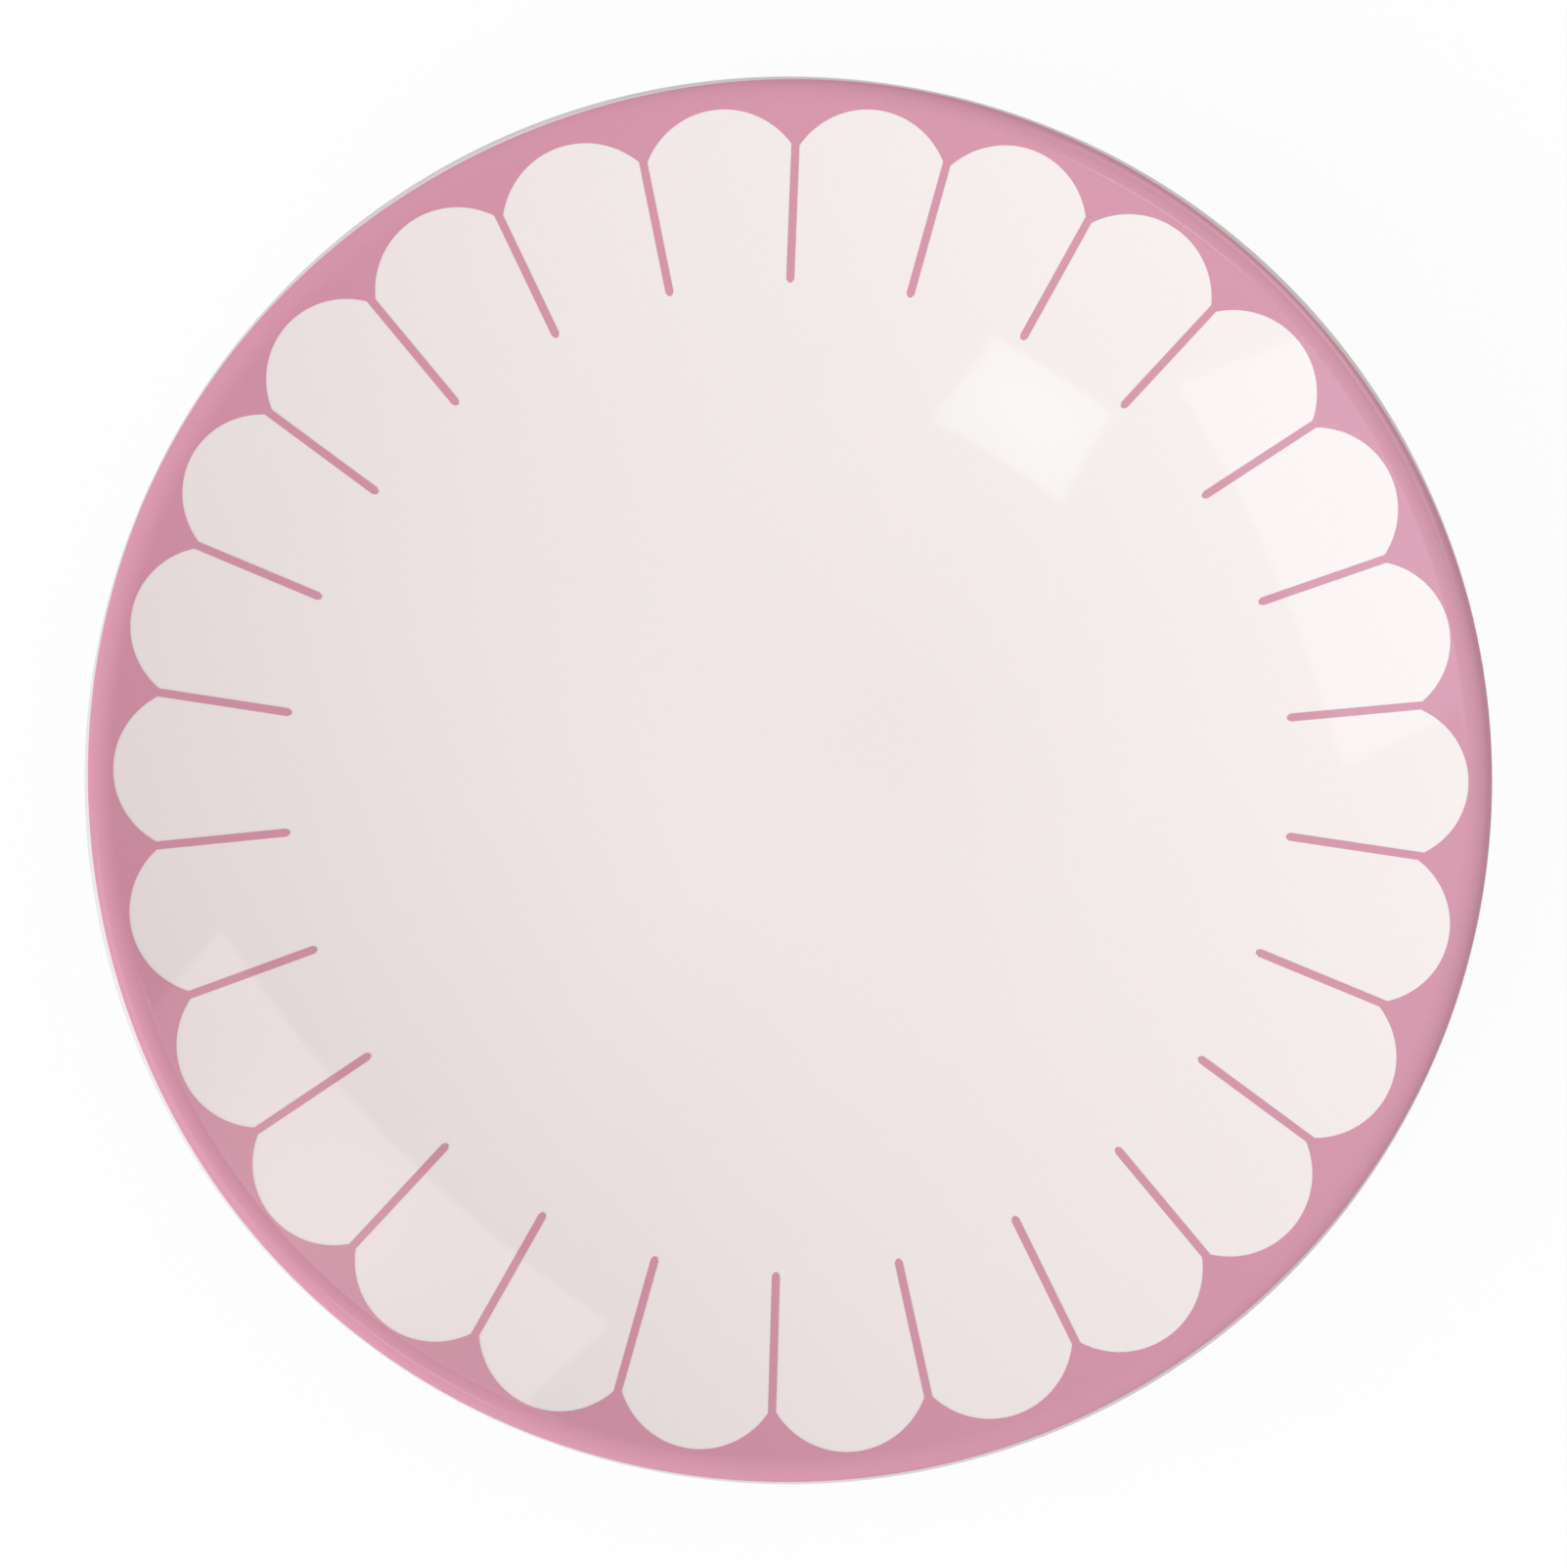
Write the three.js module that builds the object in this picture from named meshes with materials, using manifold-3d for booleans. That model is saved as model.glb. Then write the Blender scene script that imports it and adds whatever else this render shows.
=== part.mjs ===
// Breakfast plate: a round glazed ceramic plate with a curved wall, a rolled lip and a scalloped border.
// Units are millimetres. The foot ring stands on z = 0, and the plate is round about Z, which points up.

import * as THREE from 'three';
import { mergeVertices } from 'three/addons/utils/BufferGeometryUtils.js';
import Module from 'manifold-3d';

// Finished form, glaze and print included
const PLATE_DIAMETER = 220;
const PLATE_HEIGHT = 25;
const FLOOR_DIAMETER = 40; // flat middle of the well
const FLOOR_THICKNESS = 5;

// Lip, which rolls over from the wall in three rounds
const LIP_SHOULDER = 5.2; // up from the wall to the lip's highest line
const LIP_CROWN = 3.7; // over the top
const LIP_EDGE = 1.8; // round the edge to the underside
const LIP_EDGE_TILT = 19; // degrees off level where the crown gives way to the edge

// Foot ring under the plate
const FOOT_DIAMETER = 124;
const FOOT_WIDTH = 5;
const FOOT_RECESS = 3;
const FOOT_FILLET = 3;
const RECESS_FILLET = 1.4;
const BEARING_ROUND = 0.6;

// Glaze films and the clearance that keeps each layer off the one below it
const GLAZE_THICKNESS = 0.4;
const BARE_FOOT_HEIGHT = 1; // wiped strip between the bearing face and the glaze line
const LAYER_GAP = 0.05;

// Printed border, measured in plan from the plate's edge
const PRINT_THICKNESS = 0.1;
const PRINT_MARGIN = 0.5; // white lip left outside the print
const BAND_WIDTH = 4.4; // plate's edge to the heads of the scallops
const SCALLOP_COUNT = 26;
const SCALLOP_RISE = 7; // cusp between two scallops to their heads
const STROKE_LENGTH = 20.4; // cusp to the stroke's round inner end
const STROKE_WIDTH = 1.25;
const STROKE_LEAN = -1.1; // degrees off the radius
const STROKE_ROOT = 1.5; // stroke widths buried in the band past the cusp

// Finishes
const CLAY_COLOUR = 0xe8ddcc;
const CLAY_ROUGHNESS = 0.9;
const GLAZE_COLOUR = 0xf3eae6;
const GLAZE_ROUGHNESS = 0.12;
const PRINT_COLOUR = 0xd398ac;
const PRINT_ROUGHNESS = 0.2;

// Facets of the turned and drawn curves
const TURN_SEGMENTS = 52;
const WELL_STEPS = 8;
const LIP_STEPS = [3, 4, 2, 2]; // under the edge, over the edge, the crown and the shoulder
const UNDERSIDE_STEPS = 4;
const FILLET_STEPS = 3;
const BEARING_STEPS = 2;
const SCALLOP_STEPS = 6; // an arc takes two facets for each
const STROKE_END_STEPS = 3;
const MERGE_TOLERANCE = 1e-4;

// Largest share of a wall that a fillet may take where the wall gets short
const FILLET_SHARE = 0.8;

// Directions in the plate's section, where 0 points away from the axis
const QUARTER = Math.PI / 2;
const UP = QUARTER;
const DOWN = -QUARTER;
const OUTWARD = 0;
const INWARD = Math.PI;

const plateRadius = PLATE_DIAMETER / 2;
const floorRadius = FLOOR_DIAMETER / 2;
const floorZ = FOOT_RECESS + FLOOR_THICKNESS;
const lipTopZ = PLATE_HEIGHT - PRINT_THICKNESS - LAYER_GAP;

const wasm = await Module();
wasm.setup();

// Section of the lip: the centre of its edge, and the radius of its highest line
const edgeTilt = THREE.MathUtils.degToRad(LIP_EDGE_TILT);
const edgeR = plateRadius - LIP_EDGE;
const edgeZ = lipTopZ - LIP_CROWN + (LIP_CROWN - LIP_EDGE) * Math.cos(edgeTilt);
const topR = edgeR - (LIP_CROWN - LIP_EDGE) * Math.sin(edgeTilt);

// Section of the well: a flat floor, then the wall as one arc that turns back in the lip's shoulder. Both ends
// are level, so the line between them slopes at half the wall's steepest angle.
const wallAngle = 2 * Math.atan2(lipTopZ - floorZ, topR - floorRadius);
const wellRadius = (topR - floorRadius) / Math.sin(wallAngle) - LIP_SHOULDER;
const wellCentreZ = floorZ + wellRadius;

// The underside follows the wall about the same centre and runs into the lip's edge
const undersideRadius = Math.hypot(edgeR - floorRadius, wellCentreZ - edgeZ) + LIP_EDGE;
const undersideAngle = Math.atan2(edgeR - floorRadius, wellCentreZ - edgeZ);

// Section of the foot ring
const footOuterR = FOOT_DIAMETER / 2;
const footInnerR = footOuterR - FOOT_WIDTH;
const recessFillet = Math.min(RECESS_FILLET, FILLET_SHARE * (FOOT_RECESS - BARE_FOOT_HEIGHT));
const layerDepth = GLAZE_THICKNESS + LAYER_GAP;

// A point of the section, with the direction that its surface faces.
function surfacePoint(r, z, facing) {
  return { r, z, normalR: Math.cos(facing), normalZ: Math.sin(facing) };
}

// Points along an arc of the section. A hollow arc's surface faces its centre, a round one's faces away.
function surfaceArc(centreR, centreZ, radius, from, to, steps, hollow) {
  const points = [];
  for (let step = 0; step <= steps; step += 1) {
    const angle = from + ((to - from) * step) / steps;
    const r = centreR + radius * Math.cos(angle);
    const z = centreZ + radius * Math.sin(angle);
    points.push(surfacePoint(r, z, hollow ? angle + Math.PI : angle));
  }
  return points;
}

// The same point on a layer that lies the given distance above the surface, or below it if negative.
function onLayer(point, distance) {
  return new THREE.Vector2(point.r + point.normalR * distance, point.z + point.normalZ * distance);
}

// Tilt and height, at a radius, of a line that runs the given gap below the underside. It follows the curve,
// and goes straight on where a wide foot lies past the curve's end.
function undersideTilt(r, gap) {
  const sine = (r - floorRadius) / (undersideRadius + gap);
  return Math.min(Math.asin(Math.min(sine, 1)), undersideAngle);
}

function undersideZ(r, gap) {
  const tilt = undersideTilt(r, gap);
  const depth = undersideRadius + gap;
  const curveR = floorRadius + depth * Math.sin(tilt);
  return wellCentreZ - depth * Math.cos(tilt) + (r - curveR) * Math.tan(tilt);
}

// Finished surface from the glaze line on the foot ring, under the wall, over the lip and in to the axis.
// From the underside on, each run leaves its last point to the next one.
function outerSurface() {
  const fillet = Math.min(FOOT_FILLET, FILLET_SHARE * (undersideZ(footOuterR, 0) - BARE_FOOT_HEIGHT));
  const filletR = footOuterR + fillet;
  const filletZ = undersideZ(filletR, fillet);
  const tilt = undersideTilt(filletR, fillet);
  const rounds = [
    [edgeR, edgeZ, LIP_EDGE, DOWN + undersideAngle, OUTWARD],
    [edgeR, edgeZ, LIP_EDGE, OUTWARD, UP - edgeTilt],
    [topR, lipTopZ - LIP_CROWN, LIP_CROWN, UP - edgeTilt, UP],
    [topR, lipTopZ - LIP_SHOULDER, LIP_SHOULDER, UP, UP + wallAngle],
  ];
  const points = [surfacePoint(footOuterR, BARE_FOOT_HEIGHT, OUTWARD)];
  points.push(...surfaceArc(filletR, filletZ, fillet, INWARD, UP + tilt, FILLET_STEPS, true));
  if (tilt < undersideAngle) {
    const curve = [undersideRadius, DOWN + tilt, DOWN + undersideAngle, UNDERSIDE_STEPS];
    points.push(...surfaceArc(floorRadius, wellCentreZ, ...curve, false).slice(1, -1));
  }
  rounds.forEach((round, index) => {
    points.push(...surfaceArc(...round, LIP_STEPS[index], false).slice(0, -1));
  });
  const wall = [wellRadius, DOWN + wallAngle, DOWN, WELL_STEPS];
  points.push(...surfaceArc(floorRadius, wellCentreZ, ...wall, true));
  points.push(surfacePoint(0, floorZ, UP));
  return points;
}

// Finished surface of the recess under the plate, from the axis out and down to the glaze line.
function recessSurface() {
  const filletR = footInnerR - recessFillet;
  const filletZ = FOOT_RECESS - recessFillet;
  return [
    surfacePoint(0, FOOT_RECESS, DOWN),
    ...surfaceArc(filletR, filletZ, recessFillet, UP, OUTWARD, FILLET_STEPS, true),
    surfacePoint(footInnerR, BARE_FOOT_HEIGHT, INWARD),
  ];
}

// Turns a section about the plate's axis. The section runs with the solid on its left.
function turned(section) {
  return new THREE.LatheGeometry(section, TURN_SEGMENTS).rotateX(QUARTER);
}

function toSolid(geometry) {
  geometry.deleteAttribute('normal');
  geometry.deleteAttribute('uv');
  const merged = mergeVertices(geometry, MERGE_TOLERANCE);
  const vertProperties = new Float32Array(merged.attributes.position.array);
  const triVerts = new Uint32Array(merged.index.array);
  return new wasm.Manifold(new wasm.Mesh({ numProp: 3, vertProperties, triVerts }));
}

function toGeometry(solid) {
  const { vertProperties, triVerts } = solid.getMesh();
  const geometry = new THREE.BufferGeometry();
  geometry.setAttribute('position', new THREE.BufferAttribute(vertProperties, 3));
  geometry.setIndex(new THREE.BufferAttribute(triVerts, 1));
  geometry.computeVertexNormals();
  return geometry;
}

function ceramic(name, geometry, color, roughness) {
  const material = new THREE.MeshStandardMaterial({ color, roughness, metalness: 0 });
  const mesh = new THREE.Mesh(geometry, material);
  mesh.name = name;
  return mesh;
}

// Fired clay under the glaze, with a bare foot ring whose bearing face has rounded edges.
function clayBody() {
  const ringInnerR = footInnerR + layerDepth;
  const ringOuterR = footOuterR - layerDepth;
  const innerEdge = [ringInnerR + BEARING_ROUND, BEARING_ROUND, BEARING_ROUND, INWARD, 3 * QUARTER];
  const outerEdge = [ringOuterR - BEARING_ROUND, BEARING_ROUND, BEARING_ROUND, DOWN, OUTWARD];
  const bearing = [
    ...surfaceArc(...innerEdge, BEARING_STEPS, false),
    ...surfaceArc(...outerEdge, BEARING_STEPS, false),
  ];
  const section = [
    ...recessSurface().map((point) => onLayer(point, -layerDepth)),
    ...bearing.map((point) => onLayer(point, 0)),
    ...outerSurface().map((point) => onLayer(point, -layerDepth)),
  ];
  return ceramic('clay_body', turned(section), CLAY_COLOUR, CLAY_ROUGHNESS);
}

// White gloss glaze over the upper face, the lip and the outside, down to the glaze line.
function glazeCoat() {
  const surface = outerSurface();
  const section = [
    ...surface.map((point) => onLayer(point, -GLAZE_THICKNESS)).reverse(),
    ...surface.map((point) => onLayer(point, 0)),
  ];
  return ceramic('glaze_coat', turned(section), GLAZE_COLOUR, GLAZE_ROUGHNESS);
}

// The same glaze inside the foot ring, parted from the coat by the wiped ring.
function baseGlaze() {
  const surface = recessSurface();
  const section = [
    ...surface.map((point) => onLayer(point, 0)),
    ...surface.map((point) => onLayer(point, -GLAZE_THICKNESS)).reverse(),
  ];
  return ceramic('base_glaze', turned(section), GLAZE_COLOUR, GLAZE_ROUGHNESS);
}

// The point at a share of the way along one facet of the section.
function between(from, to, share) {
  const mix = (key) => THREE.MathUtils.lerp(from[key], to[key], share);
  return { r: mix('r'), z: mix('z'), normalR: mix('normalR'), normalZ: mix('normalZ') };
}

// The upper surface between two radii, on the same facets as the glaze below it.
function upperSurface(outerR, innerR) {
  const surface = outerSurface();
  const widest = surface.reduce((best, point, index) => (point.r > surface[best].r ? index : best), 0);
  const points = [];
  for (let index = widest; index < surface.length - 1; index += 1) {
    const from = surface[index];
    const to = surface[index + 1];
    const shareAt = (r) => (from.r - r) / (from.r - to.r);
    const start = Math.max(shareAt(outerR), 0);
    const end = Math.min(shareAt(innerR), 1);
    if (start < end && points.length === 0) {
      points.push(between(from, to, start));
    }
    if (start < end) {
      points.push(between(from, to, end));
    }
  }
  return points;
}

// Plan of the printed border: each scallop's head is one arc through its two cusps and its highest point.
const pitch = (2 * Math.PI) / SCALLOP_COUNT;
const headR = plateRadius - BAND_WIDTH;
const cuspR = headR - SCALLOP_RISE;
const strokeRootR = cuspR + STROKE_ROOT * STROKE_WIDTH;

function onPlan(radius, angle) {
  return new THREE.Vector2(radius * Math.cos(angle), radius * Math.sin(angle));
}

// Everything outside the scallops, wide enough to pass the plate's edge on all sides.
function bandPlan() {
  const halfChord = cuspR * Math.sin(pitch / 2);
  const rise = headR - cuspR * Math.cos(pitch / 2);
  const scallopRadius = (halfChord ** 2 + rise ** 2) / (2 * rise);
  const half = Math.atan2(halfChord, scallopRadius - rise);
  const scallops = new THREE.Path();
  for (let index = 0; index < SCALLOP_COUNT; index += 1) {
    const angle = index * pitch;
    const centre = onPlan(headR - scallopRadius, angle);
    scallops.absarc(centre.x, centre.y, scallopRadius, angle - half, angle + half, false);
  }
  const plan = new THREE.Shape();
  plan.absarc(0, 0, PLATE_DIAMETER, 0, 2 * Math.PI, false);
  plan.holes.push(scallops);
  return plan;
}

// One stroke from a cusp towards the well, with its root buried in the band and a round inner end.
function strokePlan(angle) {
  const along = angle + THREE.MathUtils.degToRad(STROKE_LEAN);
  const radius = STROKE_WIDTH / 2;
  const root = onPlan(strokeRootR, angle);
  const tip = root.clone().sub(onPlan(strokeRootR - cuspR + STROKE_LENGTH - radius, along));
  const plan = new THREE.Shape();
  plan.absarc(tip.x, tip.y, radius, along + QUARTER, along + 3 * QUARTER, false);
  plan.absarc(root.x, root.y, radius, along - QUARTER, along + QUARTER, false);
  return plan;
}

// A plan raised from the well's floor to above the lip.
function raised(plan, curveSegments) {
  const extrusion = { depth: PLATE_HEIGHT, curveSegments, bevelEnabled: false };
  return toSolid(new THREE.ExtrudeGeometry(plan, extrusion).translate(0, 0, floorZ));
}

// Pink transfer print, fired onto the glaze as one film of band, scallops and strokes.
function rimPrint() {
  const innerR = cuspR - STROKE_LENGTH - STROKE_WIDTH;
  const surface = upperSurface(plateRadius - PRINT_MARGIN, innerR);
  const section = [
    ...surface.map((point) => onLayer(point, LAYER_GAP + PRINT_THICKNESS)),
    ...surface.map((point) => onLayer(point, LAYER_GAP)).reverse(),
  ];
  section.push(section[0].clone());
  let design = raised(bandPlan(), SCALLOP_STEPS);
  for (let index = 0; index < SCALLOP_COUNT; index += 1) {
    design = design.add(raised(strokePlan((index + 0.5) * pitch), STROKE_END_STEPS));
  }
  const film = toSolid(turned(section)).intersect(design);
  return ceramic('rim_print', toGeometry(film), PRINT_COLOUR, PRINT_ROUGHNESS);
}

const plate = new THREE.Group();
plate.add(clayBody(), glazeCoat(), baseGlaze(), rimPrint());

export default plate;
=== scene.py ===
"""A breakfast plate: a turned, glazed ceramic plate with a pink scalloped border printed on its rim."""

import math

import bpy
import numpy as np
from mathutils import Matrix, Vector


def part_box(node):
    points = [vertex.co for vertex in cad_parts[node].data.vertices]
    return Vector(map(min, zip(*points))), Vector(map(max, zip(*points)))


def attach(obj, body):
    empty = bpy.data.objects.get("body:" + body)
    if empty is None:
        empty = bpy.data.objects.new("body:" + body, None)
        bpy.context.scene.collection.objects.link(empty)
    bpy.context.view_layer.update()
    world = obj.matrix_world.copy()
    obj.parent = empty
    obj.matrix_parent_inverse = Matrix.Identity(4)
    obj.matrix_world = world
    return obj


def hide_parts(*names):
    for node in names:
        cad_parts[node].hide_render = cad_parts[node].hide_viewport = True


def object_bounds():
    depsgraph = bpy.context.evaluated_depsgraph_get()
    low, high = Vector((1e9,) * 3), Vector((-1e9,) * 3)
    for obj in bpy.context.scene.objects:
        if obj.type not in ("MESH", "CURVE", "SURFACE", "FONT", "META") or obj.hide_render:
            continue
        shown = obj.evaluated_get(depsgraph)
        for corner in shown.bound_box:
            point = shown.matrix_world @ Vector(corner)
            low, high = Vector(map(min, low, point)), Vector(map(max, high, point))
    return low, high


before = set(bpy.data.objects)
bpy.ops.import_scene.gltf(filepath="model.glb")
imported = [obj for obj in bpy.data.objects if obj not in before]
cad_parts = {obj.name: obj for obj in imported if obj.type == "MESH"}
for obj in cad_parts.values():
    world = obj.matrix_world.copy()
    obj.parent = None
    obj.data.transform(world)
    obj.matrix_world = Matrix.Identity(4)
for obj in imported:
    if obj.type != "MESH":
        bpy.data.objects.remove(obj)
cad_low, cad_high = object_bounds()

# Clay body
# The plate is one piece of fired clay, pressed and turned on a mould: a flat floor, a wall that is one long
# curve, and a rolled lip. The foot ring is turned in one with it, and only its bearing face stays bare.

MM = 0.001
PLATE_RADIUS = (cad_high.x - cad_low.x) / 2
LIP_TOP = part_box("glaze_coat")[1].z
FLOOR_RADIUS = 20 * MM
FLOOR_TOP = 8 * MM
LIP_SHOULDER = 5.2 * MM
LIP_CROWN = 3.7 * MM
LIP_EDGE = 1.8 * MM
EDGE_TILT = math.radians(19)
FOOT_RADIUS = 62 * MM
FOOT_WIDTH = 5 * MM
FOOT_FILLET = 3 * MM
RECESS = 3 * MM
RECESS_FILLET = 1.4 * MM
BEARING_ROUND = 0.6 * MM
GLAZE_LINE = 1 * MM
GLAZE_DEPTH = 0.45 * MM

# Columns round the axis, and steps along each stretch of the section
TURN_COLUMNS = 272
FOOT_STEPS = 5
FILLET_STEPS = 14
BELLY_STEPS = 20
EDGE_STEPS = 40
CROWN_STEPS = 10
SHOULDER_STEPS = 12
WELL_STEPS = 56
FLOOR_STEPS = 12
CEILING_STEPS = 20
RECESS_FILLET_STEPS = 12
RECESS_SIDE_STEPS = 4
BEARING_STEPS = 6

CLAY_CREAM = (0.8, 0.72, 0.6, 1)
CLAY_GREY = (0.62, 0.55, 0.45, 1)
CLAY_ROUGHNESS = 0.85
CLAY_SHINE = 0.25
PATCH_SCALE = 120.0
PATCH_FROM = 0.32
PATCH_TO = 0.6
GRAIN_SCALE = 2600.0
GRAIN_SHADE = 0.18
GRAIN_BUMP = 0.6
GRAIN_HEIGHT = 0.06 * MM
SHARP_CORNER = math.radians(40)

UP = math.pi / 2
DOWN = -math.pi / 2
OUTWARD = 0.0
INWARD = math.pi

# The lip rolls over in three rounds: a wide shoulder up from the wall, a crown, and a tight edge
top_r = PLATE_RADIUS - LIP_EDGE - (LIP_CROWN - LIP_EDGE) * math.sin(EDGE_TILT)
edge_r = PLATE_RADIUS - LIP_EDGE
edge_z = LIP_TOP - LIP_CROWN + (LIP_CROWN - LIP_EDGE) * math.cos(EDGE_TILT)

# The wall is one arc, level at the edge of the flat floor, and turns the other way in the shoulder. Both
# ends are level, so the line between them slopes at half the wall's steepest angle.
wall_angle = 2 * math.atan((LIP_TOP - FLOOR_TOP) / (top_r - FLOOR_RADIUS))
well_radius = (top_r - FLOOR_RADIUS) / math.sin(wall_angle) - LIP_SHOULDER
well_z = FLOOR_TOP + well_radius

# The underside follows the wall about the same centre and runs into the lip's edge
under_radius = math.hypot(edge_r - FLOOR_RADIUS, well_z - edge_z) + LIP_EDGE
under_angle = math.atan2(edge_r - FLOOR_RADIUS, well_z - edge_z)


def point(r, z, facing):
    """One point of the section: its radius, its height and the unit normal in the facing direction."""
    return np.array([[r, z, math.cos(facing), math.sin(facing)]])


def arc(r, z, radius, start, stop, steps, hollow=False):
    """A round stretch of the section: the centre plus the radius along evenly spaced directions.

    The normals point away from the centre, or towards it on a hollow stretch."""
    angle = np.linspace(start, stop, steps + 1)
    way = np.stack([np.cos(angle), np.sin(angle)], axis=1)
    return np.hstack([np.array([r, z]) + radius * way, -way if hollow else way])


def straight(start, stop, steps):
    """Evenly spaced points strictly between two section points, with the normal mixed between theirs."""
    share = np.linspace(0, 1, steps + 1)[1:-1, None]
    return start * (1 - share) + stop * share


def outer_section():
    """Finished surface from the glaze line on the foot, under the wall, over the lip and in to the axis.

    The foot's fillet touches its upright side and the circle that the well's curve makes under the wall."""
    fillet_r = FOOT_RADIUS + FOOT_FILLET
    tilt = math.asin((fillet_r - FLOOR_RADIUS) / (under_radius + FOOT_FILLET))
    fillet_z = well_z - (under_radius + FOOT_FILLET) * math.cos(tilt)
    foot = point(FOOT_RADIUS, GLAZE_LINE, OUTWARD)
    fillet = arc(fillet_r, fillet_z, FOOT_FILLET, INWARD, UP + tilt, FILLET_STEPS, hollow=True)
    belly = arc(FLOOR_RADIUS, well_z, under_radius, DOWN + tilt, DOWN + under_angle, BELLY_STEPS)[1:]
    edge = arc(edge_r, edge_z, LIP_EDGE, DOWN + under_angle, UP - EDGE_TILT, EDGE_STEPS)[1:]
    crown = arc(top_r, LIP_TOP - LIP_CROWN, LIP_CROWN, UP - EDGE_TILT, UP, CROWN_STEPS)[1:]
    shoulder = arc(top_r, LIP_TOP - LIP_SHOULDER, LIP_SHOULDER, UP, UP + wall_angle, SHOULDER_STEPS)[1:]
    well = arc(FLOOR_RADIUS, well_z, well_radius, DOWN + wall_angle, DOWN, WELL_STEPS, hollow=True)[1:]
    axis = point(0, FLOOR_TOP, UP)
    return np.vstack([foot, straight(foot, fillet[:1], FOOT_STEPS), fillet, belly, edge, crown, shoulder,
                      well, straight(well[-1:], axis, FLOOR_STEPS), axis])


def recess_section():
    """Finished surface of the recess under the plate, from the axis out and down to the glaze line."""
    fillet = arc(FOOT_RADIUS - FOOT_WIDTH - RECESS_FILLET, RECESS - RECESS_FILLET, RECESS_FILLET,
                 UP, OUTWARD, RECESS_FILLET_STEPS, hollow=True)
    axis = point(0, RECESS, DOWN)
    foot = point(FOOT_RADIUS - FOOT_WIDTH, GLAZE_LINE, INWARD)
    return np.vstack([axis, straight(axis, fillet[:1], CEILING_STEPS), fillet,
                      straight(fillet[-1:], foot, RECESS_SIDE_STEPS), foot])


def layer(section, height):
    """The section's points moved along their normals by a height, which is negative into the clay."""
    return section[:, :2] + height * section[:, 2:]


def turned_mesh(name, section, wobble=None):
    """Solid of revolution of a section that runs from the axis to the axis with the solid on its left.

    Ring i at angle a is (r cos a, r sin a, z), and each end is a single point on the axis. A wobble function
    of angle and z may lift the rings."""
    angle = np.arange(TURN_COLUMNS) * 2 * math.pi / TURN_COLUMNS
    r, z = (np.repeat(section[1:-1, k, None], TURN_COLUMNS, axis=1) for k in (0, 1))
    turn = np.broadcast_to(angle, r.shape)
    lift = 0 if wobble is None else wobble(turn, z)
    rings = np.stack([r * np.cos(turn), r * np.sin(turn), z + lift], axis=2).reshape(-1, 3)
    poles = np.array([[0, 0, section[0, 1]], [0, 0, section[-1, 1]]])
    index = np.arange(len(rings)).reshape(r.shape)
    ahead = np.roll(index, -1, axis=1)
    quads = np.stack([index[:-1], ahead[:-1], ahead[1:], index[1:]], axis=2).reshape(-1, 4)
    first, last = len(rings), len(rings) + 1
    start = np.stack([np.full(TURN_COLUMNS, first), ahead[0], index[0]], axis=1)
    end = np.stack([index[-1], ahead[-1], np.full(TURN_COLUMNS, last)], axis=1)
    mesh = bpy.data.meshes.new(name)
    mesh.from_pydata(np.vstack([rings, poles]), [], quads.tolist() + start.tolist() + end.tolist())
    return mesh


def show(name, mesh, material):
    """Puts a finished mesh into the scene with its material, smooth except over sharp corners."""
    mesh.validate()
    mesh.shade_smooth()
    mesh.set_sharp_from_angle(angle=SHARP_CORNER)
    mesh.materials.append(material)
    piece = bpy.data.objects.new(name, mesh)
    bpy.context.scene.collection.objects.link(piece)
    return piece


def new_material(name):
    """A plain node material, with its node tree and its Principled shader."""
    material = bpy.data.materials.new(name)
    material.use_nodes = True
    tree = material.node_tree
    return material, tree, tree.nodes["Principled BSDF"]


def fill(tree, socket, value):
    """Links an input to another node's output, or sets it to a plain value."""
    if isinstance(value, bpy.types.NodeSocket):
        tree.links.new(value, socket)
    else:
        socket.default_value = value


def add(tree, kind, settings=(), **inputs):
    """Adds a node, sets its properties, and fills its inputs by name (underscores for spaces)."""
    made = tree.nodes.new(kind)
    for key, value in dict(settings).items():
        setattr(made, key, value)
    for key, value in inputs.items():
        fill(tree, made.inputs[key.replace("_", " ")], value)
    return made


def colour_fade(tree, value, start, stop, first, second, interpolation="LINEAR"):
    """A colour that goes from the first to the second while a value goes from start to stop."""
    share = add(tree, "ShaderNodeMapRange", {"interpolation_type": interpolation}, Value=value,
                From_Min=start, From_Max=stop)
    ramp = add(tree, "ShaderNodeValToRGB", Fac=share.outputs["Result"])
    ramp.color_ramp.elements[0].color = first
    ramp.color_ramp.elements[1].color = second
    return ramp.outputs["Color"]


def clay_material():
    """Bare fired clay: a matt cream body with fine sandy grain and rubbed, slightly greyed patches."""
    material, tree, shader = new_material("bare_clay")
    place = add(tree, "ShaderNodeTexCoord").outputs["Object"]
    grain = add(tree, "ShaderNodeTexNoise", Vector=place, Scale=GRAIN_SCALE, Detail=4.0, Roughness=0.65)
    patch = add(tree, "ShaderNodeTexNoise", Vector=place, Scale=PATCH_SCALE, Detail=3.0)
    tone = colour_fade(tree, patch.outputs["Fac"], PATCH_FROM, PATCH_TO, CLAY_GREY, CLAY_CREAM)
    speckle = add(tree, "ShaderNodeMix", {"data_type": "RGBA", "blend_type": "MULTIPLY"},
                  Factor=GRAIN_SHADE, A=tone, B=grain.outputs["Color"])
    bump = add(tree, "ShaderNodeBump", Height=grain.outputs["Fac"], Strength=GRAIN_BUMP,
               Distance=GRAIN_HEIGHT)
    fill(tree, shader.inputs["Base Color"], speckle.outputs["Result"])
    fill(tree, shader.inputs["Normal"], bump.outputs["Normal"])
    fill(tree, shader.inputs["Roughness"], CLAY_ROUGHNESS)
    fill(tree, shader.inputs["Specular IOR Level"], CLAY_SHINE)
    return material


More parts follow.
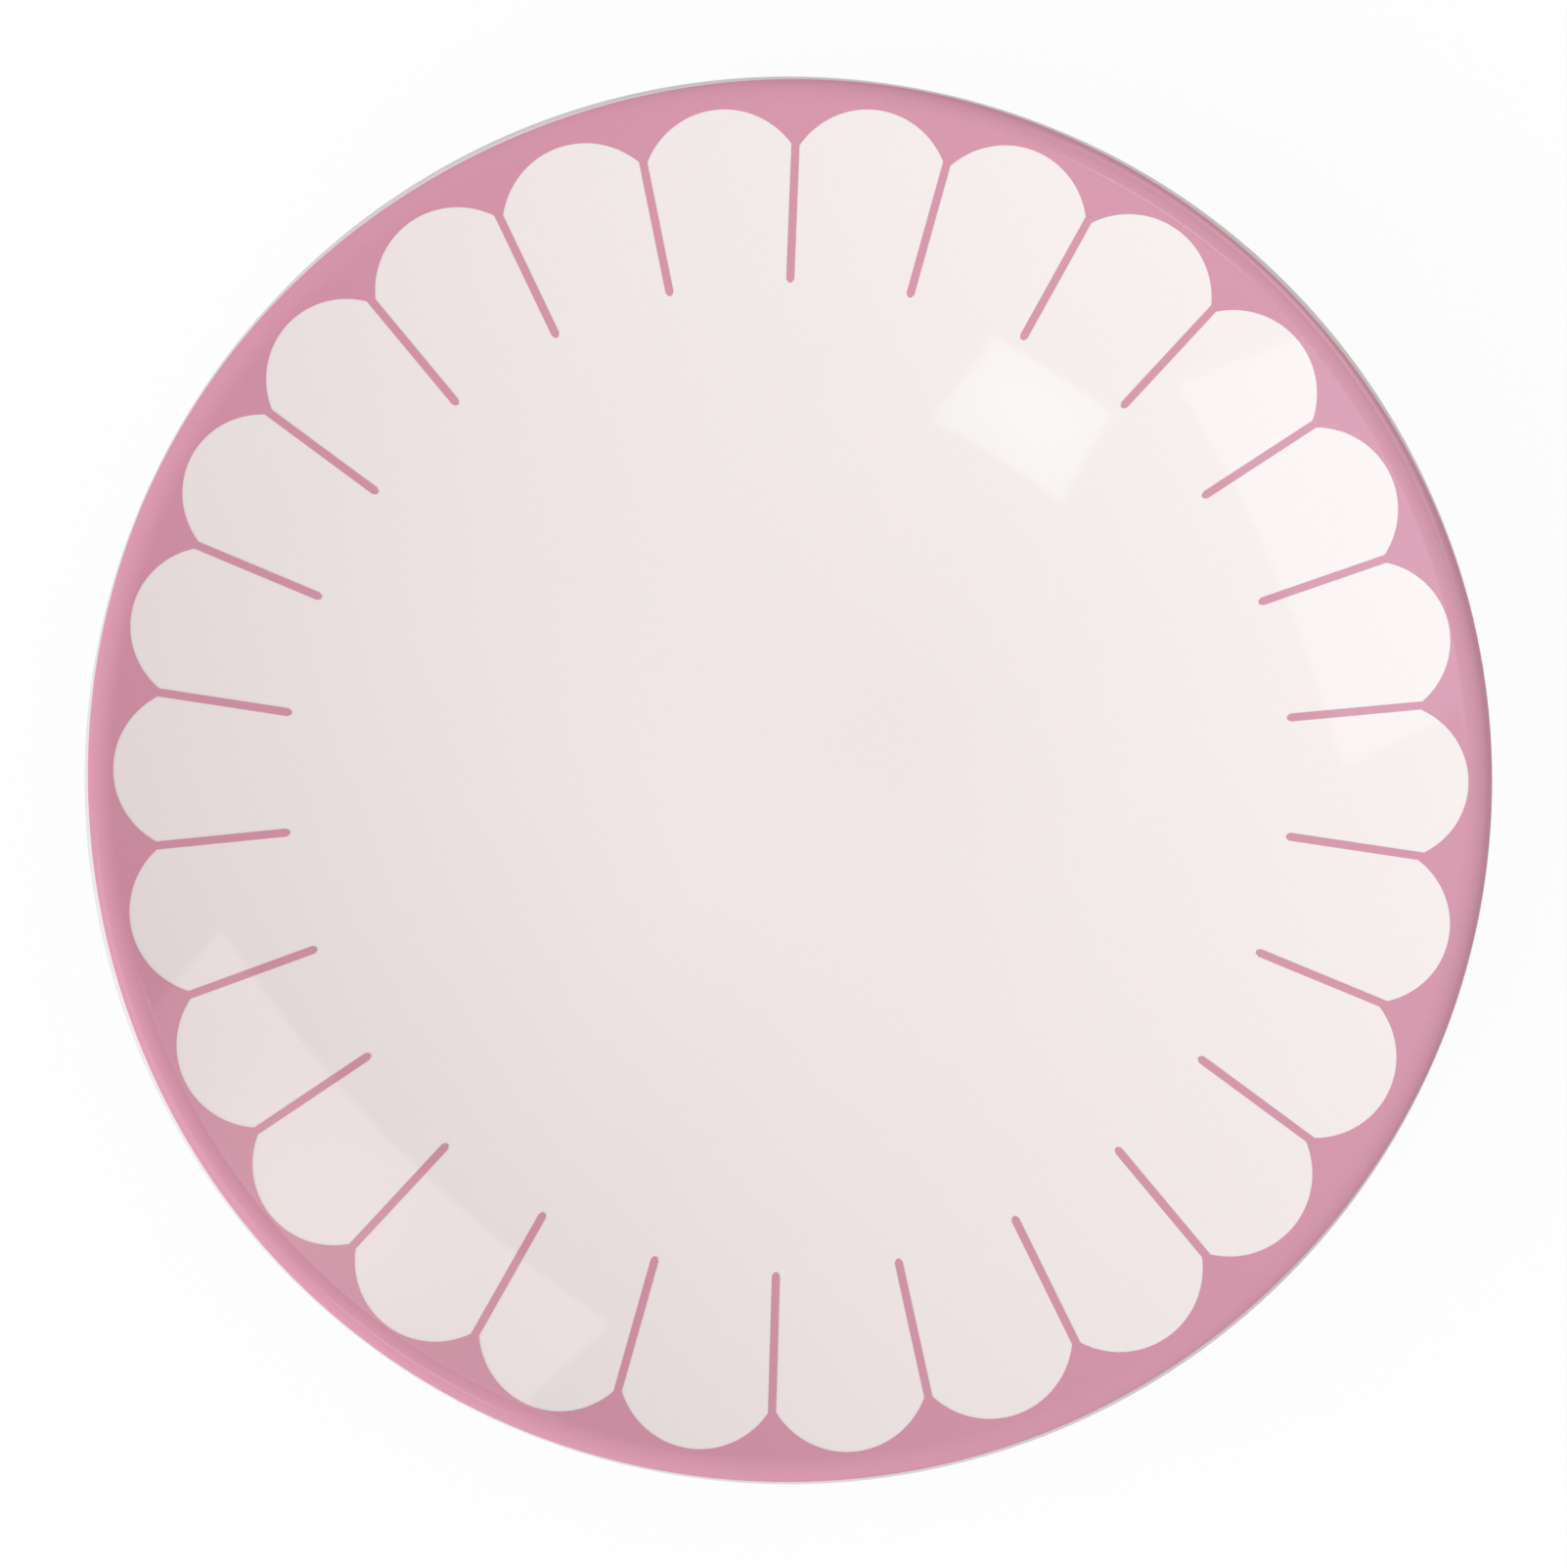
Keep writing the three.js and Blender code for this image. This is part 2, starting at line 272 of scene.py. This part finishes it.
ring_inner = FOOT_RADIUS - FOOT_WIDTH + GLAZE_DEPTH + BEARING_ROUND
ring_outer = FOOT_RADIUS - GLAZE_DEPTH - BEARING_ROUND
bearing_inner = arc(ring_inner, BEARING_ROUND, BEARING_ROUND, INWARD, 3 * UP, BEARING_STEPS)
bearing_outer = arc(ring_outer, BEARING_ROUND, BEARING_ROUND, DOWN, OUTWARD, BEARING_STEPS)
clay_section = np.vstack([
    layer(recess_section(), -GLAZE_DEPTH),
    bearing_inner[:, :2],
    straight(bearing_inner[-1:], bearing_outer[:1], BEARING_STEPS)[:, :2],
    bearing_outer[:, :2],
    layer(outer_section(), -GLAZE_DEPTH),
])
clay_body = show("clay", turned_mesh("clay", clay_section), clay_material())
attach(clay_body, "root")
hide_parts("clay_body")

# Glaze coat
# An opaque warm white glaze, dipped over the whole upper face, the lip and the outside. It is fired to a
# glossy glass skin, and stops in a soft bead where the foot ring was wiped clean.

GLAZE_THICKNESS = 0.4 * MM
GLAZE_WHITE = (0.86, 0.775, 0.76, 1)
# Painted shade with thin glaze: the faint grey of the lip's outer edge, where it turns down from the light
EDGE_SHADE_GREY = (0.74, 0.67, 0.655, 1)
GLAZE_IOR = 1.52
GLAZE_RIPPLE = 0.004 * MM
GRAIN_IN_RIPPLE = 0.06
NOISE_MIDDLE = 0.5
# Radii over which the painted edge shade comes in, short of the plate's edge
EDGE_SHADE_FROM = 1.1 * MM
EDGE_SHADE_FULL = 0.5 * MM
BEAD_STEPS = 8
LINE_WOBBLE = 0.08 * MM
LINE_REACH = 2 * MM

# The glaze line's waves round the foot: waves in a turn, size, and direction in degrees
LINE_WAVES = ((3, 1.0, 67.08), (7, 0.6, -24.59), (17, 0.4, 90))


def calc(tree, operation, *values):
    """Adds a math node, fills its inputs in order and gives back its result."""
    made = add(tree, "ShaderNodeMath", {"operation": operation})
    for socket, value in zip(made.inputs, values):
        fill(tree, socket, value)
    return made.outputs[0]


def gloss_group():
    """Node group for fired gloss: a slow cloud of tone, a fine grain, and the height of a faint ripple.

    Tone is one plus the cloud and the grain about their middles, each times its depth. Roughness is the
    gloss plus the cloud about its middle times the spread. Ripple is the cloud plus a little of the grain."""
    group = bpy.data.node_groups.new("fired_gloss", "ShaderNodeTree")
    for name, default in (("Cloud Size", 30.0), ("Cloud Depth", 0.02), ("Grain Size", 900.0),
                          ("Grain Depth", 0.02), ("Gloss", 0.04), ("Gloss Spread", 0.015)):
        socket = group.interface.new_socket(name, in_out="INPUT", socket_type="NodeSocketFloat")
        socket.default_value = default
    for name in ("Tone", "Roughness", "Ripple"):
        group.interface.new_socket(name, in_out="OUTPUT", socket_type="NodeSocketFloat")
    given = group.nodes.new("NodeGroupInput").outputs
    result = group.nodes.new("NodeGroupOutput").inputs
    place = add(group, "ShaderNodeTexCoord").outputs["Object"]
    cloud = add(group, "ShaderNodeTexNoise", Vector=place, Scale=given["Cloud Size"], Detail=3.0)
    grain = add(group, "ShaderNodeTexNoise", Vector=place, Scale=given["Grain Size"], Detail=2.0)
    slow = calc(group, "SUBTRACT", cloud.outputs["Fac"], NOISE_MIDDLE)
    fine = calc(group, "SUBTRACT", grain.outputs["Fac"], NOISE_MIDDLE)
    slow_tone = calc(group, "MULTIPLY_ADD", slow, given["Cloud Depth"], 1.0)
    tone = calc(group, "MULTIPLY_ADD", fine, given["Grain Depth"], slow_tone)
    rough = calc(group, "MULTIPLY_ADD", slow, given["Gloss Spread"], given["Gloss"])
    ripple = calc(group, "MULTIPLY_ADD", grain.outputs["Fac"], GRAIN_IN_RIPPLE, cloud.outputs["Fac"])
    fill(group, result["Tone"], tone)
    fill(group, result["Roughness"], rough)
    fill(group, result["Ripple"], ripple)
    return group


fired_gloss = gloss_group()


def gloss_material(name, colour, ripple, ior, **values):
    """A fired gloss finish: one colour times the group's tone, with the group's roughness and ripple.

    It takes the ripple's height, the index of refraction and values for the group's inputs. The input that
    holds the colour is given back too."""
    material, tree, shader = new_material(name)
    gloss = add(tree, "ShaderNodeGroup", {"node_tree": fired_gloss}, **values)
    tint = add(tree, "ShaderNodeVectorMath", {"operation": "SCALE"}, Scale=gloss.outputs["Tone"])
    tint.inputs[0].default_value = colour[:3]
    bump = add(tree, "ShaderNodeBump", Height=gloss.outputs["Ripple"], Strength=1.0, Distance=ripple)
    fill(tree, shader.inputs["Base Color"], tint.outputs["Vector"])
    fill(tree, shader.inputs["Roughness"], gloss.outputs["Roughness"])
    fill(tree, shader.inputs["Normal"], bump.outputs["Normal"])
    fill(tree, shader.inputs["IOR"], ior)
    return material, tint.inputs[0]


def waves(angle, terms):
    """Sum over the terms of size times the cosine of count times angle less direction."""
    return sum(size * np.cos(count * angle - math.radians(way)) for count, size, way in terms)


def glaze_line_wobble(angle, z):
    """Lift of the glaze line: its wobble times its waves, fading with a square up to the reach above it."""
    fade = np.clip(1 - (z - GLAZE_LINE) / LINE_REACH, 0, 1) ** 2
    return LINE_WOBBLE * waves(angle, LINE_WAVES) * fade


def bead(start, side):
    """The glaze's rounded lower edge: half a circle from the clay out to the surface, or back at side -1."""
    middle = start[0, :2] - GLAZE_THICKNESS / 2 * start[0, 2:]
    turn = np.linspace(-UP, UP, BEAD_STEPS + 1)[1:-1, None]
    across = start[0, 2:] * np.sin(turn) * side
    return middle + GLAZE_THICKNESS / 2 * (across - np.array([[0, 1]]) * np.cos(turn))


white_glaze, coat_colour = gloss_material("white_glaze", GLAZE_WHITE, GLAZE_RIPPLE, GLAZE_IOR)

# Over the lip's outer edge the white fades to a faint grey. The glaze runs thin there, and the grey is also
# painted shade for the light that falls off where the edge turns down.
tree = white_glaze.node_tree
place = add(tree, "ShaderNodeTexCoord").outputs["Object"]
level = add(tree, "ShaderNodeMapping", {"vector_type": "POINT"}, Vector=place, Scale=(1, 1, 0))
away = add(tree, "ShaderNodeVectorMath", {"operation": "LENGTH"}, Vector=level.outputs["Vector"])
edge_shaded_white = colour_fade(tree, away.outputs["Value"], PLATE_RADIUS - EDGE_SHADE_FROM, PLATE_RADIUS - EDGE_SHADE_FULL,
                      GLAZE_WHITE, EDGE_SHADE_GREY, "SMOOTHSTEP")
fill(tree, coat_colour, edge_shaded_white)
coat = outer_section()
coat_section = np.vstack([layer(coat, -GLAZE_THICKNESS)[::-1], bead(coat[:1], 1), layer(coat, 0)])
glaze_coat = show("glaze", turned_mesh("glaze", coat_section, glaze_line_wobble), white_glaze)
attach(glaze_coat, "root")
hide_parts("glaze_coat")

# Base glaze
# The same glaze pools in the shallow recess under the plate. The wiped foot ring parts it from the coat,
# and the pool is a little more rippled and cloudy than the glaze on the face.

POOL_RIPPLE = 0.008 * MM

base_white, _ = gloss_material("base_glaze_white", GLAZE_WHITE, POOL_RIPPLE, GLAZE_IOR, Cloud_Depth=0.05,
                               Gloss=0.1)
base = recess_section()
base_section = np.vstack([layer(base, 0), bead(base[-1:], -1), layer(base, -GLAZE_THICKNESS)[::-1]])
base_glaze = show("under_glaze", turned_mesh("under_glaze", base_section), base_white)
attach(base_glaze, "root")
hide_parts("base_glaze")

# Rim print
# A pink transfer print, laid on the glaze by hand and fired on: a band over the lip with scalloped inner
# edge, and a thin stroke from every cusp towards the well. Laying it pulled it a little out of true.

# The print's pink at the left and at the right, with painted shade and painted light across it from side to
# side
PINK_LEFT_PAINTED_SHADE = (0.649, 0.268, 0.372, 1)
PINK_RIGHT_PAINTED_LIGHT = (0.618, 0.279, 0.374, 1)
INK_IOR = 1.45
INK_RIPPLE = 0.004 * MM
FILM = 0.06 * MM
FILM_SINK = 0.03 * MM
EDGE_RADIUS = 109.5 * MM
EDGE_LIMIT = PLATE_RADIUS - 0.15 * MM
SCALLOPS = 26
SCALLOP_CENTRE = 92.6 * MM
SCALLOP_RADIUS = 12.93 * MM
STROKE_START = math.radians(6.3)
STROKE_MIDDLE = 88.7 * MM
STROKE_TIP = 78.2 * MM
STROKE_WIDTH = 1.24 * MM
STROKE_LEAN = math.radians(-1.03)

# How the transfer was pulled, as waves round the rim like the glaze line's: the strokes' sway and lean in
# degrees, and the reach of their tips, the heads' ripple and the outer edge in millimetres
SWAY = ((1, 0.68, 34), (2, 0.47, -56), (3, 0.19, -100), (4, 0.06, 170), (5, 0.06, -60))
LEAN = ((1, 0.84, -137), (2, 0.65, 96), (3, 0.2, 143), (4, 0.14, 110), (5, 0.2, -45))
REACH = ((1, 0.51, 106), (2, 0.55, 23), (3, 0.2, 11))
RIPPLE = ((2, 0.2, -4), (3, 0.2, 20), (4, 0.24, -67), (5, 0.2, 30))
EDGE = ((1, 0.15, -33), (2, 0.12, 4), (3, 0.13, 9), (4, 0.17, -58), (5, 0.14, 27))
HEAD_SHIFT = 1.8
HEAD_SHRINK = 0.8

HEAD_STEPS = 28
ROOT_STEPS = 4
BAND_ROWS = 40
BAND_CROWDING = 1.6
STROKE_ROWS = 40
STROKE_CROWDING = 1.5


def on_plan(radius, angle):
    """Plan points from polar coordinates, with x and y in the last axis."""
    return np.stack([radius * np.cos(angle), radius * np.sin(angle)], axis=-1)


def upper_surface(r):
    """Height of the finished upper surface at a radius, and the radial and upright parts of its unit normal.

    The wall, the lip's shoulder, crown and edge are each a circle in section. The wall's is hollow, so its
    surface lies below its centre and faces it."""
    joints = (top_r - LIP_SHOULDER * math.sin(wall_angle), top_r, top_r + LIP_CROWN * math.sin(EDGE_TILT))
    circles = ((FLOOR_RADIUS, well_z, well_radius, -1), (top_r, LIP_TOP - LIP_SHOULDER, LIP_SHOULDER, 1),
               (top_r, LIP_TOP - LIP_CROWN, LIP_CROWN, 1), (edge_r, edge_z, LIP_EDGE, 1))
    centre_r, centre_z, radius, side = np.moveaxis(np.array(circles)[np.searchsorted(joints, r)], -1, 0)
    away = np.clip((r - centre_r) / radius, -1, 1)
    upright = np.sqrt(1 - away ** 2)
    return centre_z + side * radius * upright, side * away, upright


def raise_film(plan, height):
    """Lays plan points on the upper surface and moves them along its normal by a height."""
    r = np.linalg.norm(plan, axis=-1)
    z, across, upright = upper_surface(r)
    out = plan / r[..., None] * (r + across * height)[..., None]
    return np.concatenate([out, (z + upright * height)[..., None]], axis=-1)


pitch = 2 * math.pi / SCALLOPS
turn = STROKE_START + np.arange(SCALLOPS) * pitch
stroke_angle = turn + np.radians(waves(turn, SWAY))
stroke_way = on_plan(1.0, stroke_angle + STROKE_LEAN + np.radians(waves(turn, LEAN)))
stroke_side = np.stack([-stroke_way[:, 1], stroke_way[:, 0]], axis=1)
stroke_middle = on_plan(STROKE_MIDDLE, stroke_angle)
tip_radius = STROKE_TIP + MM * waves(turn, REACH)

# A head lies midway between its two strokes' lines, carried out to the head's top
carried = stroke_middle + (SCALLOP_CENTRE + SCALLOP_RADIUS - STROKE_MIDDLE) * stroke_way
line_angle = np.unwrap(np.arctan2(carried[:, 1], carried[:, 0]))
head_angle = (line_angle + np.append(line_angle[1:], line_angle[0] + 2 * math.pi)) / 2
ripple = MM * waves(head_angle, RIPPLE)
head_centre = on_plan(SCALLOP_CENTRE + HEAD_SHIFT * ripple, head_angle)
head_radius = SCALLOP_RADIUS - HEAD_SHRINK * ripple


def cusp(centre, radius, side):
    """Where a stroke's side leaves a scallop: the outer crossing of its line and the head's circle."""
    start = stroke_middle + side * STROKE_WIDTH / 2 * stroke_side
    away = start - centre
    along = np.sum(away * stroke_way, axis=1)
    reach = -along + np.sqrt(along ** 2 - np.sum(away ** 2, axis=1) + radius ** 2)
    return start + reach[:, None] * stroke_way


before_cusp = cusp(np.roll(head_centre, 1, axis=0), np.roll(head_radius, 1), -1)
after_cusp = cusp(head_centre, head_radius, 1)


def head_points():
    """Each scallop's head as points on its circle, from the cusp before it to just short of the next one."""
    start = after_cusp - head_centre
    stop = np.roll(before_cusp, -1, axis=0) - head_centre
    first = np.arctan2(start[:, 1], start[:, 0])
    sweep = (np.arctan2(stop[:, 1], stop[:, 0]) - first) % (2 * math.pi)
    angle = first[:, None] + sweep[:, None] * np.arange(HEAD_STEPS) / HEAD_STEPS
    return head_centre[:, None] + on_plan(head_radius[:, None], angle)


def root_points(share):
    """Points across each stroke's root, from one cusp to the other."""
    return before_cusp[:, None] * (1 - share[:, None]) + after_cusp[:, None] * share[:, None]


def band_grid():
    """The band: columns from its scalloped inner edge out to the print's edge on the lip.

    Going round, each stroke's root is followed by the next scallop's head. Rows share out each column's
    length, with more of them over the lip. The edge stops short of the plate's outermost line."""
    root = root_points(np.arange(ROOT_STEPS) / ROOT_STEPS)
    inner = np.concatenate([root, head_points()], axis=1).reshape(-1, 2)
    inner_r = np.linalg.norm(inner, axis=1)
    angle = np.arctan2(inner[:, 1], inner[:, 0])
    outer_r = np.minimum(EDGE_RADIUS + MM * waves(angle, EDGE), EDGE_LIMIT)
    share = 1 - (1 - np.linspace(0, 1, BAND_ROWS + 1)[:, None]) ** BAND_CROWDING
    return on_plan(inner_r + (outer_r - inner_r) * share, np.broadcast_to(angle, (BAND_ROWS + 1, len(angle))))


def stroke_grid():
    """The strokes: rows from each root to its tip, closing in a half circle at the tip.

    The share across the stroke is the same as at its root, so the two grids join point to point."""
    across = np.arange(ROOT_STEPS + 1) / ROOT_STEPS
    root = root_points(across)
    root_along = np.sum((root - stroke_middle[:, None]) * stroke_way[:, None], axis=2)
    tip_along = tip_radius - STROKE_MIDDLE
    offset = (across - 0.5) * STROKE_WIDTH
    round_end = STROKE_WIDTH / 2 - np.sqrt(np.maximum((STROKE_WIDTH / 2) ** 2 - offset ** 2, 0))
    end_along = tip_along[:, None] + round_end
    share = 1 - (1 - np.linspace(0, 1, STROKE_ROWS + 1)) ** STROKE_CROWDING
    along = root_along[:, None] + (end_along - root_along)[:, None] * share[None, :, None]
    spot = stroke_middle[:, None, None] + along[..., None] * stroke_way[:, None, None]
    return spot + (offset[:, None] * stroke_side[:, None, :])[:, None]


def print_mesh():
    """One closed film: the band's and the strokes' upper faces, the same faces sunk below, and the walls."""
    band = band_grid()
    strokes = stroke_grid()
    columns = band.shape[1]
    band_index = np.arange(band.shape[0] * columns).reshape(band.shape[:2])
    ahead = np.roll(band_index, -1, axis=1)
    band_quads = np.stack([band_index[:-1], band_index[1:], ahead[1:], ahead[:-1]], axis=2)
    root_column = (np.arange(SCALLOPS) * (ROOT_STEPS + HEAD_STEPS))[:, None] + np.arange(ROOT_STEPS + 1)
    free_rows = strokes[:, 1:]
    stroke_index = band_index.size + np.arange(free_rows[..., 0].size).reshape(free_rows.shape[:3])
    stroke_index = np.concatenate([band_index[0, root_column][:, None], stroke_index], axis=1)
    near, far = stroke_index[:, :-1], stroke_index[:, 1:]
    stroke_quads = np.stack([near[..., :-1], near[..., 1:], far[..., 1:], far[..., :-1]], axis=3)
    plan = np.vstack([band.reshape(-1, 2), free_rows.reshape(-1, 2)])
    quads = np.vstack([band_quads.reshape(-1, 4), stroke_quads.reshape(-1, 4)])
    count = len(plan)
    edges = np.stack([quads, np.roll(quads, -1, axis=1)], axis=2).reshape(-1, 2)
    rim = edges[~np.isin(edges @ [count, 1], edges @ [1, count])]
    walls = np.hstack([rim[:, ::-1], rim + count])
    mesh = bpy.data.meshes.new("print")
    points = np.vstack([raise_film(plan, FILM), raise_film(plan, -FILM_SINK)])
    mesh.from_pydata(points, [], np.vstack([quads, quads[:, ::-1] + count, walls]).tolist())
    return mesh


pink_print, ink_colour = gloss_material("pink_print", PINK_LEFT_PAINTED_SHADE, INK_RIPPLE, INK_IOR, Cloud_Depth=0.03,
                                        Grain_Size=1600.0, Grain_Depth=0.06, Gloss=0.06, Gloss_Spread=0.03)

# The pink is painted redder at the left, where the wall faces away from the key light, and cooler at the
# right, where
# it faces it: painted shade and light laid on the print's colour
tree = pink_print.node_tree
place = add(tree, "ShaderNodeTexCoord").outputs["Object"]
painted_shade_x = add(tree, "ShaderNodeSeparateXYZ", Vector=place).outputs["X"]
fill(tree, ink_colour, colour_fade(tree, painted_shade_x, -PLATE_RADIUS, PLATE_RADIUS, PINK_LEFT_PAINTED_SHADE, PINK_RIGHT_PAINTED_LIGHT))
rim_print = show("border_print", print_mesh(), pink_print)
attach(rim_print, "root")
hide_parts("rim_print")

# Floor and backdrop
# A plain white table that runs out of sight, and a white surround. To the eye the table is white and keeps
# the plate's soft shadow. It gives back less light than that, lets half of it through, and from below it is
# clear, so that the underside can be seen.

FLOOR_HALF = 4.0
FLOOR_GLOW = 0.94
TABLE_WHITE = (0.9, 0.9, 0.9, 1)
TABLE_DULL = (0.3, 0.3, 0.3, 1)
TABLE_PASSES = 0.5
PURE_WHITE = (1, 1, 1, 1)
AMBIENT = 0.622
AMBIENT_TINT = (1.05, 1.0, 1.01, 1)


def seen_ray(tree):
    """One for rays from the camera, a reflection or a refraction, zero for light that only bounces."""
    path = add(tree, "ShaderNodeLightPath").outputs
    pair = calc(tree, "MAXIMUM", path["Is Camera Ray"], path["Is Glossy Ray"])
    return calc(tree, "MAXIMUM", pair, path["Is Transmission Ray"])


def mix(tree, share, first, second):
    """A shader that is the first at a share of zero and the second at a share of one."""
    made = add(tree, "ShaderNodeMixShader", Fac=share)
    tree.links.new(first, made.inputs[1])
    tree.links.new(second, made.inputs[2])
    return made.outputs[0]


floor_mesh = bpy.data.meshes.new("floor")
corners = FLOOR_HALF * np.array([[-1, -1, 0], [1, -1, 0], [1, 1, 0], [-1, 1, 0]])
floor_mesh.from_pydata(corners.tolist(), [], [(0, 1, 2, 3)])
floor_white = bpy.data.materials.new("floor_white")
floor_white.use_nodes = True
tree = floor_white.node_tree
tree.nodes.clear()
matt = add(tree, "ShaderNodeBsdfDiffuse", Color=TABLE_WHITE).outputs[0]
glow = add(tree, "ShaderNodeEmission", Color=PURE_WHITE, Strength=1.0).outputs[0]
dull = add(tree, "ShaderNodeBsdfDiffuse", Color=TABLE_DULL).outputs[0]
clear = add(tree, "ShaderNodeBsdfTransparent").outputs[0]
bounced = mix(tree, TABLE_PASSES, dull, clear)
seen = mix(tree, FLOOR_GLOW, matt, glow)
above = mix(tree, seen_ray(tree), bounced, seen)
below = add(tree, "ShaderNodeNewGeometry").outputs["Backfacing"]
add(tree, "ShaderNodeOutputMaterial", Surface=mix(tree, below, above, clear))
floor_mesh.materials.append(floor_white)
floor = bpy.data.objects.new("floor", floor_mesh)
bpy.context.scene.collection.objects.link(floor)

world = bpy.data.worlds.new("white_surround")
world.use_nodes = True
bpy.context.scene.world = world
tree = world.node_tree
tree.nodes.clear()
soft = add(tree, "ShaderNodeBackground", Color=AMBIENT_TINT, Strength=AMBIENT).outputs[0]
white = add(tree, "ShaderNodeBackground", Color=PURE_WHITE, Strength=1.0).outputs[0]
add(tree, "ShaderNodeOutputWorld", Surface=mix(tree, seen_ray(tree), soft, white))

# Lights
# Studio softboxes round the camera. Three of them show as bright squares in the glaze, and a long low key at
# the left, outside what the well mirrors, gives the shading from left to right.

COOL = (0.55, 1.0, 1.08)
WARM = (1.1, 1.0, 0.97)
KEY_TINT = (0.88, 1, 1)


def softbox(name, azimuth, tilt, distance, depth, width, radiance, tint, twist=0):
    """A lamp in a compass direction, a tilt off the vertical and a distance from the plate's middle.

    It faces the plate, or is twisted by some degrees round the vertical. Depth runs along its compass
    direction and width across it. Its power is its radiance times pi times its area."""
    lamp = bpy.data.lights.new(name, "AREA")
    lamp.shape = "RECTANGLE"
    lamp.size = depth
    lamp.size_y = width
    lamp.color = tint
    lamp.energy = radiance * math.pi * depth * width
    holder = bpy.data.objects.new(name, lamp)
    turn = math.radians(azimuth)
    lean = math.radians(tilt)
    out = distance * math.sin(lean)
    holder.location = (out * math.cos(turn), out * math.sin(turn), distance * math.cos(lean))
    holder.rotation_euler = (0, lean, turn + math.radians(twist))
    holder.visible_camera = False
    bpy.context.scene.collection.objects.link(holder)
    return lamp, holder


def hot_spot(lamp, along, across, reach, gain):
    """Brightens a lamp round one spot, as the bulb behind the cloth does.

    Along and across place the spot as shares of the panel. The strength there is one plus the gain, and it
    falls smoothly to one at the reach, given in metres."""
    lamp.use_nodes = True
    tree = lamp.node_tree
    place = add(tree, "ShaderNodeNewGeometry").outputs["Parametric"]
    spread = add(tree, "ShaderNodeMapping", {"vector_type": "POINT"}, Vector=place,
                 Location=(-along * lamp.size, -across * lamp.size_y, 0), Scale=(lamp.size, lamp.size_y, 0))
    away = add(tree, "ShaderNodeVectorMath", {"operation": "LENGTH"}, Vector=spread.outputs["Vector"])
    fade = add(tree, "ShaderNodeMapRange", {"interpolation_type": "SMOOTHSTEP"}, Value=away.outputs["Value"],
               From_Min=0.0, From_Max=reach, To_Min=1 + gain, To_Max=1.0)
    tree.links.new(fade.outputs["Result"], tree.nodes["Emission"].inputs["Strength"])


small_box, _ = softbox("small_box", azimuth=236.9, tilt=19.3, distance=1.58, depth=0.192, width=0.175,
                       radiance=1.55, tint=COOL)
hot_spot(small_box, along=0.5, across=0.5, reach=0.1, gain=0.35)
softbox("side_box", azimuth=203.4, tilt=34.9, distance=1.8, depth=0.551, width=0.653,
        radiance=1.02, tint=COOL)
far_box, _ = softbox("far_box", azimuth=43.3, tilt=35.4, distance=1.8, depth=0.548, width=0.89,
                     radiance=1.12, tint=WARM, twist=2.3)
hot_spot(far_box, along=0.51, across=0.47, reach=0.37, gain=1.1)
_, key = softbox("key", azimuth=210, tilt=58, distance=4, depth=1.67, width=5.33,
                 radiance=4.25, tint=KEY_TINT)
key.visible_glossy = False

# Camera
# A long lens straight above the plate, so the plate fills the picture as in the photograph.

PHOTO_WIDTH = 1602
PHOTO_HEIGHT = 1603
PLATE_CENTRE_PX = (806.0, 797.8)
PLATE_RADIUS_PX = 720.5
CAMERA_HEIGHT = 1.6
SENSOR = 36.0

pixel = PLATE_RADIUS / PLATE_RADIUS_PX
camera_data = bpy.data.cameras.new("camera")
camera_data.sensor_width = SENSOR
camera_data.lens = SENSOR * CAMERA_HEIGHT / (PHOTO_HEIGHT * pixel)
camera = bpy.data.objects.new("camera", camera_data)
camera.location = (
    (PHOTO_WIDTH / 2 - PLATE_CENTRE_PX[0]) * pixel,
    (PLATE_CENTRE_PX[1] - PHOTO_HEIGHT / 2) * pixel,
    LIP_TOP + CAMERA_HEIGHT,
)
bpy.context.scene.collection.objects.link(camera)
bpy.context.scene.camera = camera
bpy.context.scene.view_settings.view_transform = "Standard"
